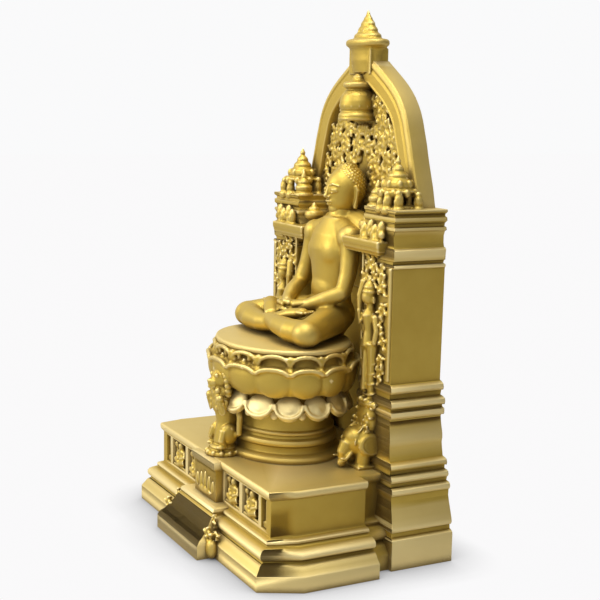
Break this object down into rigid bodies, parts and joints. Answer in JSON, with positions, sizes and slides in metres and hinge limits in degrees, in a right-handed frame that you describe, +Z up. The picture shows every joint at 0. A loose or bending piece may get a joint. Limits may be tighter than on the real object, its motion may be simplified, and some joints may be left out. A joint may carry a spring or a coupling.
{
  "type": "statue",
  "caption": "Seated meditating jina on a lotus pedestal before a throne back with a pointed halo, cast whole with a gold finish.",
  "frame": {"origin": "Centre of the footprint, on the surface the statue stands on.", "axes": "+Z up, the figure faces -Y, +X towards the figure's left hand; the left and right halves mirror each other."},
  "size_m": [0.114, 0.0762, 0.18],
  "materials": {
    "satin_gold": "satin gold, darker in the recesses and brighter on worn edges"
  },
  "bodies": {
    "root": {"mahavira_statue": "satin_gold"}
  },
  "joints": []
}
